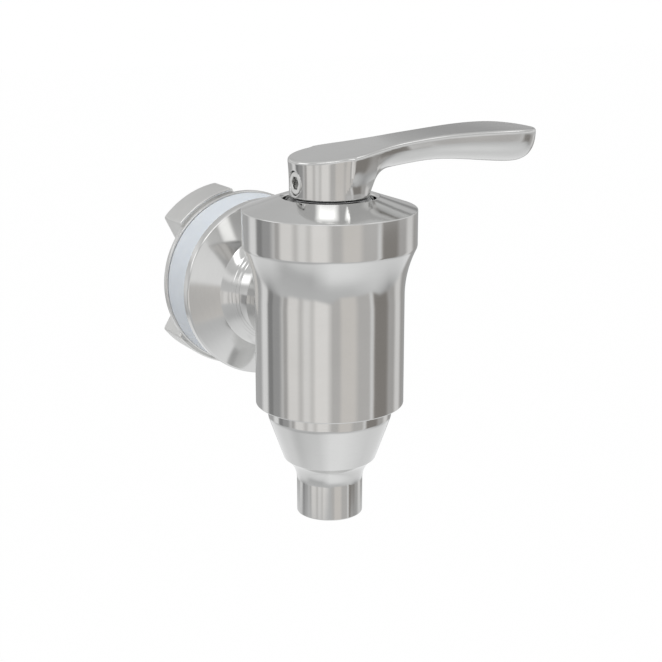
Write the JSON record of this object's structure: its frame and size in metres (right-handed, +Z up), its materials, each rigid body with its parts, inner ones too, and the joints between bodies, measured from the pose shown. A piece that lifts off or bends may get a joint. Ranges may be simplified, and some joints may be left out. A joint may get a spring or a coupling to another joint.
{
  "type": "water filter spigot",
  "caption": "Quarter-turn dispensing spigot with a swept lever, tapered outlet, coned flange, silicone washer and lobed clamp nut for a filter tank wall.",
  "frame": {"origin": "on the inlet shank's axis, in the plane of the flange's sealing face, where the centre of the hole in the tank wall goes", "axes": "+Y along the shank into the tank, -Y is the front, +Z up along the valve's axis, and the closed lever lies along +X"},
  "size_m": [0.0699, 0.0811, 0.0823],
  "materials": {
    "polished_steel": "polished stainless steel",
    "plain_steel": "satin stainless steel",
    "silicone": "translucent white silicone, matt",
    "brass": "turned brass",
    "black_rubber": "matt",
    "acetal": "matt white",
    "disc_ceramic": "lapped alumina"
  },
  "bodies": {
    "base": {"valve_body": "polished_steel", "inlet_shank": "polished_steel", "outlet_nozzle": "polished_steel", "nozzle_o_ring": "black_rubber", "silicone_washer": "silicone", "metal_washer": "plain_steel", "clamp_nut": "plain_steel", "cartridge_bonnet": "brass", "bonnet_o_ring": "black_rubber", "friction_washer": "acetal", "fixed_disc": "disc_ceramic", "seat_gasket": "black_rubber"},
    "handle": {"lever": "polished_steel", "set_screw": "plain_steel", "spindle": "brass", "spindle_o_rings": "black_rubber", "spindle_clip": "plain_steel", "moving_disc": "disc_ceramic"}
  },
  "joints": [
    {"name": "lever_turn", "type": "hinge", "parent": "base", "child": "handle", "pos_m": [0, -0.0305, 0.03], "axis": [0, 0, 1], "range_deg": [-90, 0]}
  ]
}
